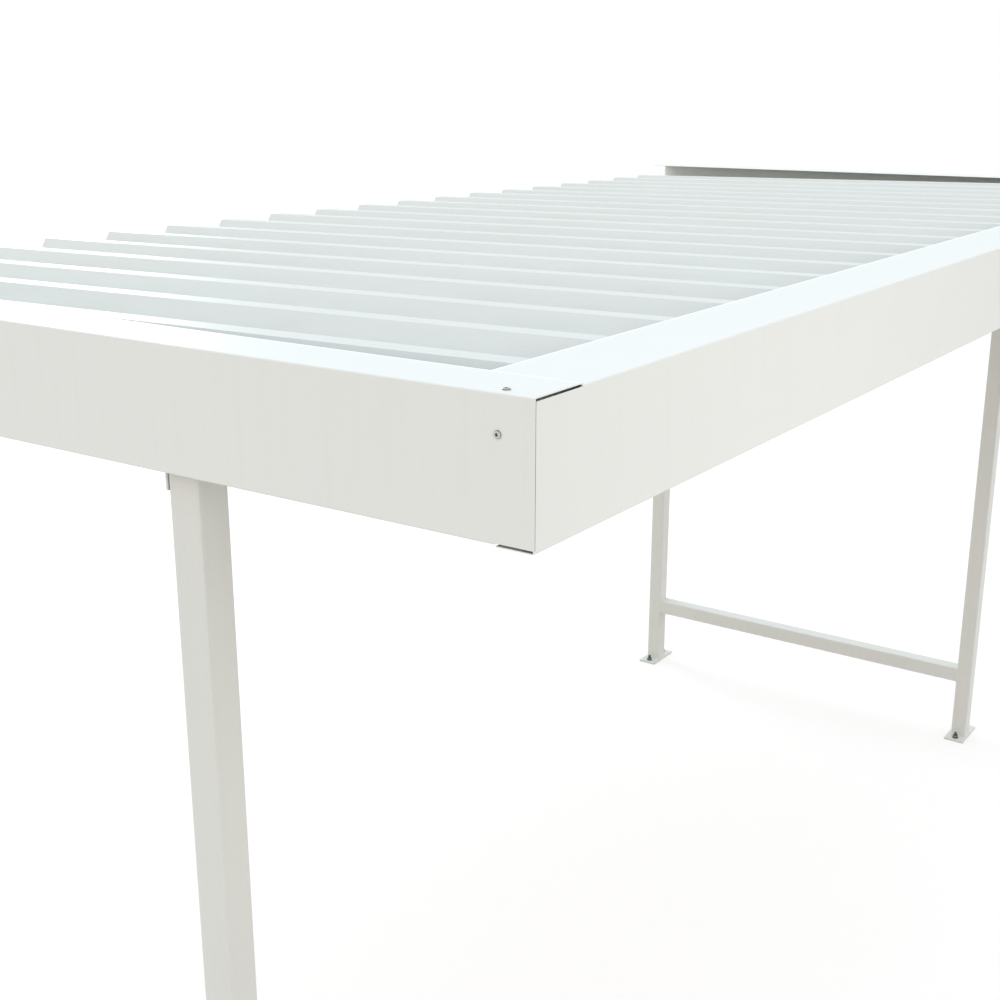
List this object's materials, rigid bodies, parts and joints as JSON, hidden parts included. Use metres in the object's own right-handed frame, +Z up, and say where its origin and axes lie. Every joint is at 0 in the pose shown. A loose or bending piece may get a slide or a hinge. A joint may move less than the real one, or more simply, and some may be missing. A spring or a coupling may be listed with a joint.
{
  "type": "bike shelter",
  "caption": "Open bike shelter: square posts on bolted feet, low gable rails and a flat ribbed steel roof behind folded fascias.",
  "frame": {"origin": "on the ground, under the middle of the roof", "axes": "+X along the roof, +Y from the open front to the rear, +Z up"},
  "size_m": [4.435, 2.16, 2.332],
  "materials": {
    "coated_fascia": "satin off-white powder coat",
    "coated_frame": "satin off-white powder coat",
    "coated_sheet": "satin coil coat",
    "galvanised": "galvanised",
    "packer": "matt black"
  },
  "bodies": {
    "root": {"post_left_front": "coated_frame", "post_left_rear": "coated_frame", "post_right_front": "coated_frame", "post_right_rear": "coated_frame", "foot_plate_left_front": "coated_frame", "foot_plate_left_rear": "coated_frame", "foot_plate_right_front": "coated_frame", "foot_plate_right_rear": "coated_frame", "gable_rail_left": "coated_frame", "gable_rail_right": "coated_frame", "gable_beam_left": "coated_frame", "gable_beam_right": "coated_frame", "front_purlin": "galvanised", "front_post_purlin": "galvanised", "middle_purlin": "galvanised", "rear_purlin": "galvanised", "front_fascia": "coated_fascia", "gable_fascia_left": "coated_fascia", "gable_fascia_right": "coated_fascia", "roof_sheet_1": "coated_sheet", "roof_sheet_2": "coated_sheet", "roof_sheet_3": "coated_sheet", "roof_sheet_4": "coated_sheet", "roof_sheet_5": "coated_sheet", "head_cleat_left_front": "coated_frame", "head_cleat_left_rear": "coated_frame", "head_cleat_right_front": "coated_frame", "head_cleat_right_rear": "coated_frame", "cleat_packer_left_front": "packer", "cleat_packer_left_rear": "packer", "cleat_packer_right_front": "packer", "cleat_packer_right_rear": "packer", "corner_bracket_left": "galvanised", "corner_bracket_right": "galvanised", "fascia_bracket_left_1": "galvanised", "fascia_bracket_left_2": "galvanised", "fascia_bracket_left_3": "galvanised", "fascia_bracket_right_1": "galvanised", "fascia_bracket_right_2": "galvanised", "fascia_bracket_right_3": "galvanised"}
  },
  "joints": []
}
